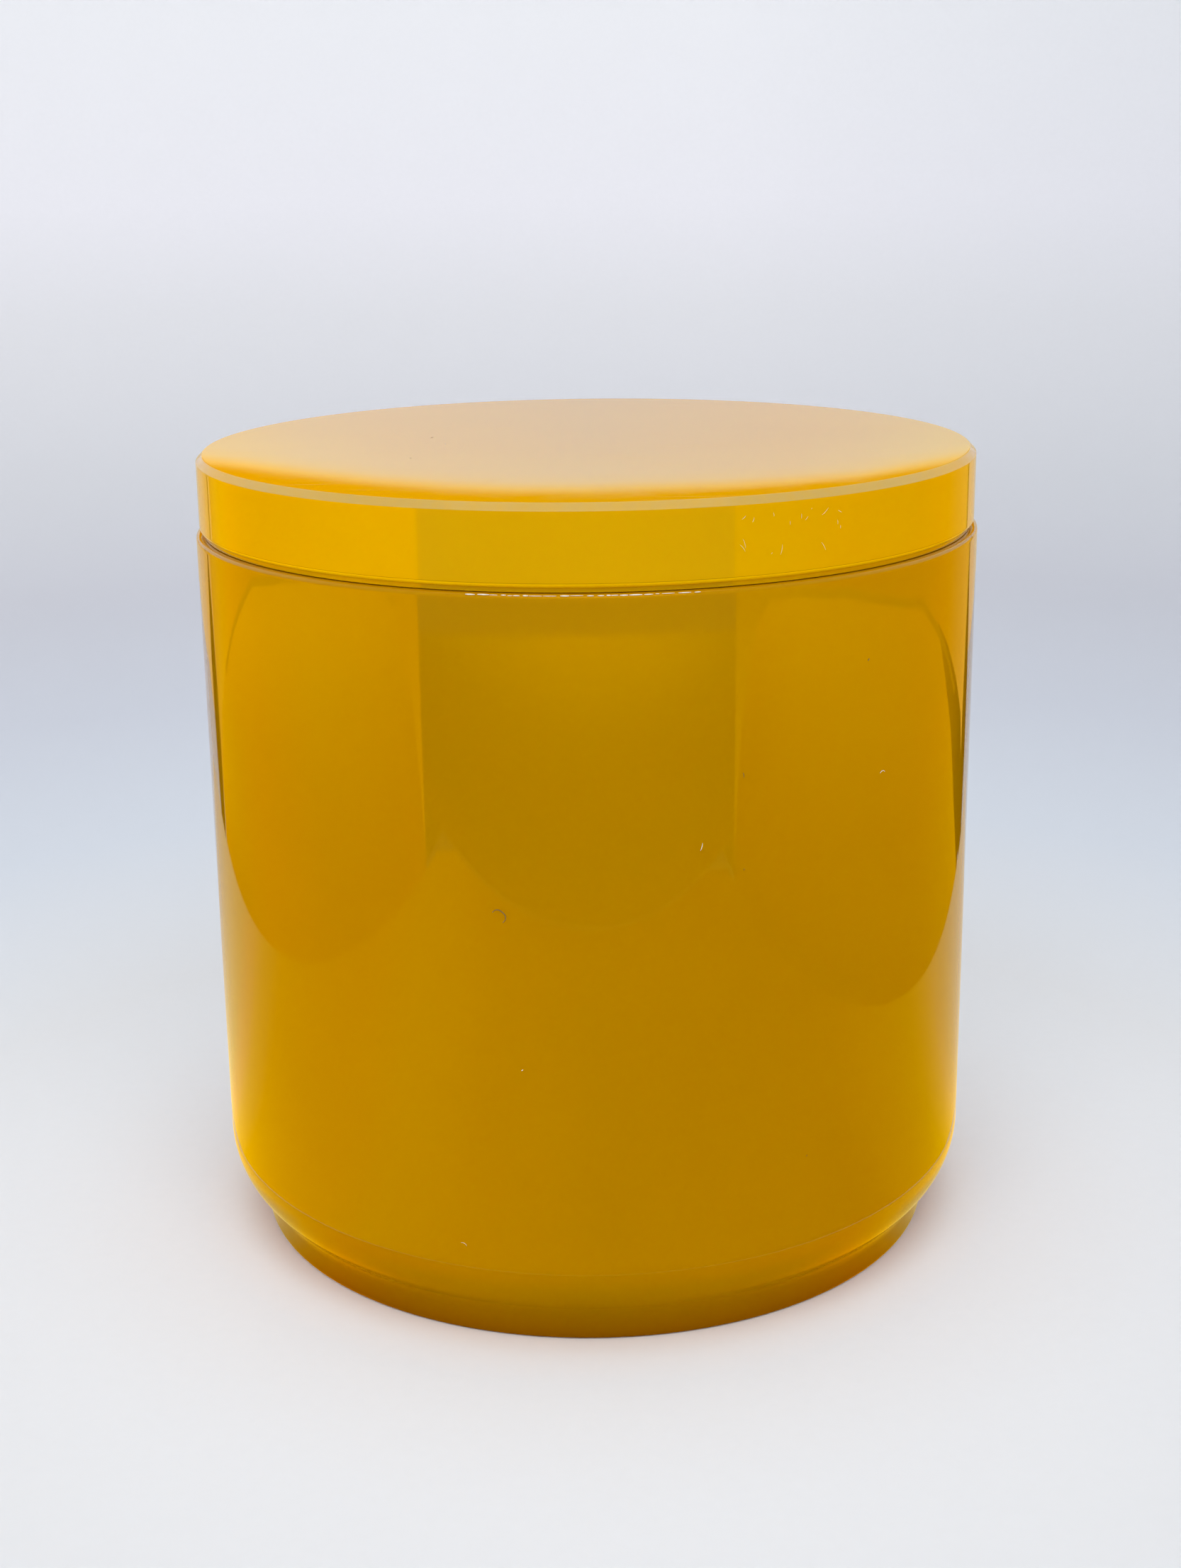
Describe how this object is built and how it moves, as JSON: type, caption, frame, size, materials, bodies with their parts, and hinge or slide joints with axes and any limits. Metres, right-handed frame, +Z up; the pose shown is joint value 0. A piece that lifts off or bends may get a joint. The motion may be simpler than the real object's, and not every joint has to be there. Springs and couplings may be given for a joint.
{
  "type": "paint jar",
  "caption": "Squat round amber plastic jar with a rounded lower corner, a recessed foot ring and a low flat twist-off lid that lifts off over an inner sealing disc.",
  "frame": {"origin": "centre of the foot ring's resting plane, on the jar's axis", "axes": "+Z up along the jar's axis, from the foot to the lid; the jar is round, so X and Y are free"},
  "size_m": [0.076, 0.076, 0.0783],
  "materials": {
    "jar_shell": "polished, saturated amber yellow",
    "lid_cover": "polished, saturated amber yellow",
    "cup_plastic": "natural white, satin",
    "insert_plastic": "natural white, satin",
    "disc_plastic": "natural white, thin and slightly waxy",
    "liner_foam": "closed-cell foam, matte"
  },
  "bodies": {
    "jar": {"outer_jar": "jar_shell", "inner_cup": "cup_plastic"},
    "liner": {"lid_liner": "liner_foam"},
    "lid": {"lid_insert": "insert_plastic", "lid_shell": "lid_cover"},
    "disc": {"sealing_disc": "disc_plastic"}
  },
  "joints": [
    {"name": "lid_lift", "type": "slide", "parent": "jar", "child": "liner", "axis": [0, 0, 1], "range_m": [0, 0.0361]},
    {"name": "lid_turn", "type": "hinge", "parent": "liner", "child": "lid", "pos_m": [0, 0, 0.075], "axis": [0, 0, 1], "range_deg": [0, 720]},
    {"name": "disc_lift", "type": "slide", "parent": "jar", "child": "disc", "axis": [0, 0, 1], "range_m": [0, 0.0181]}
  ],
  "couplings": [
    {"joint": "lid_lift", "follows": "lid_turn", "m_per_rad": 0.0028648},
    {"joint": "disc_lift", "follows": "lid_turn", "m_per_rad": 0.0014324}
  ]
}
